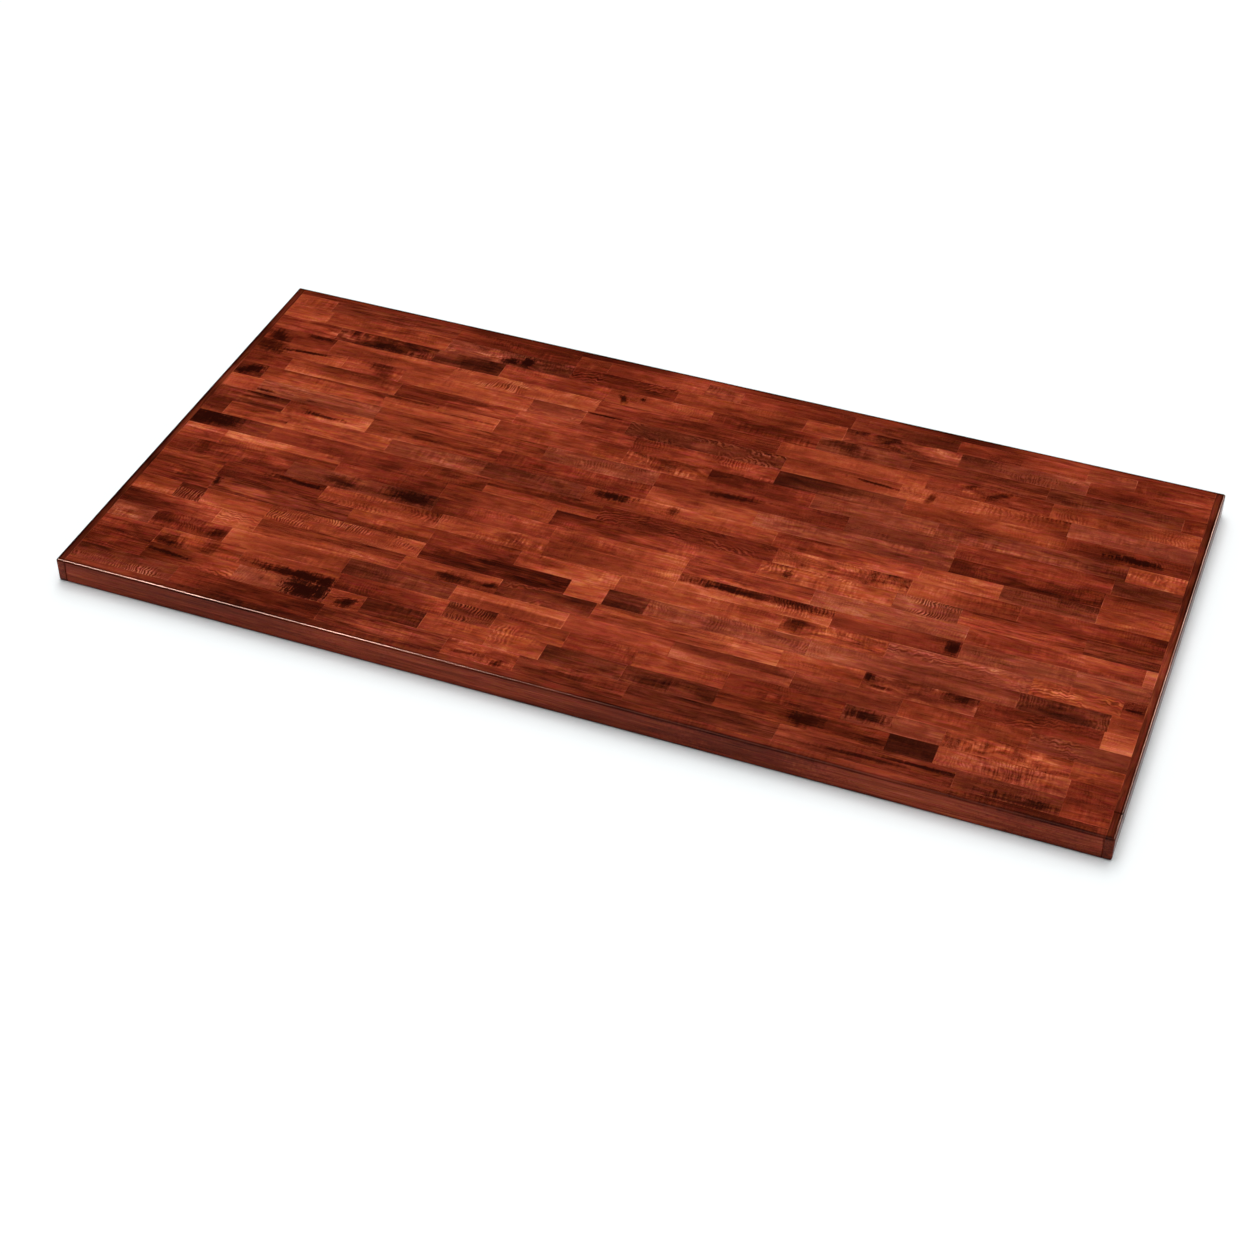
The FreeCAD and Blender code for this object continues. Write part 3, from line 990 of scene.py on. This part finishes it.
# The red wood tints what glints in its lacquer, and the light from all round is a little cool
GLINT_COLOUR = (1.0, 0.62, 0.5)
FILL_COLOUR = (0.94, 0.99, 1.01)

# The floor looks white to the camera, and throws a little less light back at the wood
FLOOR_SEEN = (0.98, 1.0, 1.0)
FLOOR_LIT = (0.8, 0.8, 0.8)
WHITE = (1.0, 1.0, 1.0)


def place_camera():
    """The camera at the photograph's angle."""
    rotation = (Matrix.Rotation(CAMERA_AZIMUTH, 3, "Z")
                @ Matrix.Rotation(math.pi / 2 - CAMERA_ELEVATION, 3, "X")
                @ Matrix.Rotation(CAMERA_ROLL, 3, "Z"))
    place = CAMERA_AIM + CAMERA_DISTANCE * rotation.col[2]
    bpy.ops.object.camera_add(location=place, rotation=rotation.to_euler())
    camera = bpy.context.object
    camera.data.lens = CAMERA_LENS
    camera.data.sensor_width = CAMERA_SENSOR
    bpy.context.scene.camera = camera


def add_sun(name, stage):
    """One of the far, soft lights."""
    azimuth, elevation, width, strength, mirrored = SUNS[name]
    rotation = (Matrix.Rotation(math.radians(azimuth), 3, "Z")
                @ Matrix.Rotation(math.radians(90 - elevation), 3, "X"))
    bpy.ops.object.light_add(type="SUN", location=(0, 0, SUN_HEIGHT), rotation=rotation.to_euler())
    sun = bpy.context.object
    sun.name = name
    sun.data.energy = getattr(stage, strength)
    sun.data.angle = math.radians(width)
    sun.visible_glossy = mirrored
    sun.visible_diffuse = not mirrored
    if mirrored:
        sun.data.color = GLINT_COLOUR


def seen_directly(tree):
    """One for rays from the camera and for mirrored and transmitted ones, and zero for the rest."""
    path = add_node(tree, "LightPath").outputs
    seen = calculate(tree, "ADD", path["Is Camera Ray"], path["Is Glossy Ray"])
    return calculate(tree, "ADD", seen, path["Is Transmission Ray"], clamp=True)


def floor_material():
    """A matt white floor."""
    material = bpy.data.materials.new("Plain white floor")
    material.use_nodes = True
    tree = material.node_tree
    shader = tree.nodes["Principled BSDF"]
    colour = mix_colours(tree, seen_directly(tree), opaque(FLOOR_LIT), opaque(FLOOR_SEEN))
    tree.links.new(colour, shader.inputs["Base Color"])
    shader.inputs["Roughness"].default_value = 1.0
    shader.inputs["Specular IOR Level"].default_value = 0.0
    return material


def set_world(stage):
    """A white background, and an even light from all round that doesn't show as a haze in the lacquer."""
    world = bpy.data.worlds.new("Studio")
    bpy.context.scene.world = world
    world.use_nodes = True
    tree = world.node_tree
    fill = [stage.fill_strength * share for share in FILL_COLOUR]
    colour = mix_colours(tree, seen_directly(tree), opaque(fill), opaque(WHITE))
    tree.links.new(colour, tree.nodes["Background"].inputs["Color"])
    world.cycles_visibility.glossy = False


# Operators

class OBJECT_OT_table_top_staves(bpy.types.Operator):
    """Model every row of staves and give it its stained wood"""
    bl_idname = "object.table_top_staves"
    bl_label = "Staves"

    def execute(self, context):
        material = wood_material("along", context.scene.table_top_finish)
        for row in range(1, len(STAVE_LOOKS) + 1):
            build_stave_row(row, context.scene.table_top_shape, material)
        return {"FINISHED"}


class OBJECT_OT_table_top_edge_strips(bpy.types.Operator):
    """Model the strips along the front and the back"""
    bl_idname = "object.table_top_edge_strips"
    bl_label = "Edge strips"

    def execute(self, context):
        material = wood_material("along", context.scene.table_top_finish)
        for node in ("edge_strip_front", "edge_strip_back"):
            build_strip(node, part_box(node), context.scene.table_top_shape, material)
        return {"FINISHED"}


class OBJECT_OT_table_top_end_strips(bpy.types.Operator):
    """Model the strip across the left end, and the two across the right end with the scarf joint between"""
    bl_idname = "object.table_top_end_strips"
    bl_label = "End strips"

    def execute(self, context):
        shape = context.scene.table_top_shape
        material = wood_material("across", context.scene.table_top_finish)
        build_strip("end_strip_left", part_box("end_strip_left"), shape, material, across_grain=True)
        whole = (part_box("end_strip_right_front")[0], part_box("end_strip_right_back")[1])
        point, normal = scarf_cut()
        for node, outward in (("end_strip_right_front", normal), ("end_strip_right_back", -normal)):
            build_strip(node, whole, shape, material, across_grain=True, cut=(point, outward))
        return {"FINISHED"}


class OBJECT_OT_table_top_stage(bpy.types.Operator):
    """Set the white floor, the soft lights and the camera"""
    bl_idname = "object.table_top_stage"
    bl_label = "Stage"

    def execute(self, context):
        stage = context.scene.table_top_stage
        deselect_all()
        bpy.ops.mesh.primitive_plane_add(size=FLOOR_SIZE, location=(0, 0, 0))
        floor = context.object
        floor.name = "floor"
        floor.data.materials.append(floor_material())
        for name in SUNS:
            add_sun(name, stage)
        set_world(stage)
        place_camera()
        context.scene.view_settings.view_transform = "Standard"
        return {"FINISHED"}


class VIEW3D_PT_table_top(bpy.types.Panel):
    """Lists the sizes, the finish and the steps of the table top"""
    bl_idname = "VIEW3D_PT_table_top"
    bl_label = "Table top"
    bl_space_type = "VIEW_3D"
    bl_region_type = "UI"
    bl_category = "Table top"

    def draw(self, context):
        for group in (context.scene.table_top_shape, context.scene.table_top_finish,
                      context.scene.table_top_stage):
            box = self.layout.box()
            for name in group.__annotations__:
                box.prop(group, name)
        for operator in OPERATORS:
            self.layout.operator(operator.bl_idname)


PROPERTY_GROUPS = {
    "table_top_shape": TableTopShape,
    "table_top_finish": TableTopFinish,
    "table_top_stage": TableTopStage,
}
OPERATORS = (
    OBJECT_OT_table_top_staves,
    OBJECT_OT_table_top_edge_strips,
    OBJECT_OT_table_top_end_strips,
    OBJECT_OT_table_top_stage,
)
CLASSES = (*PROPERTY_GROUPS.values(), *OPERATORS, VIEW3D_PT_table_top)


def register():
    """Register the classes and each scene's settings."""
    for item in CLASSES:
        bpy.utils.register_class(item)
    for name, group in PROPERTY_GROUPS.items():
        setattr(bpy.types.Scene, name, bpy.props.PointerProperty(type=group))


def unregister():
    """Take back what register did."""
    for name in PROPERTY_GROUPS:
        delattr(bpy.types.Scene, name)
    for item in reversed(CLASSES):
        bpy.utils.unregister_class(item)


def main():
    """Build the table top and its stage."""
    register()
    bpy.ops.object.table_top_staves()
    bpy.ops.object.table_top_edge_strips()
    bpy.ops.object.table_top_end_strips()
    bpy.ops.object.table_top_stage()


if __name__ == "__main__":
    main()
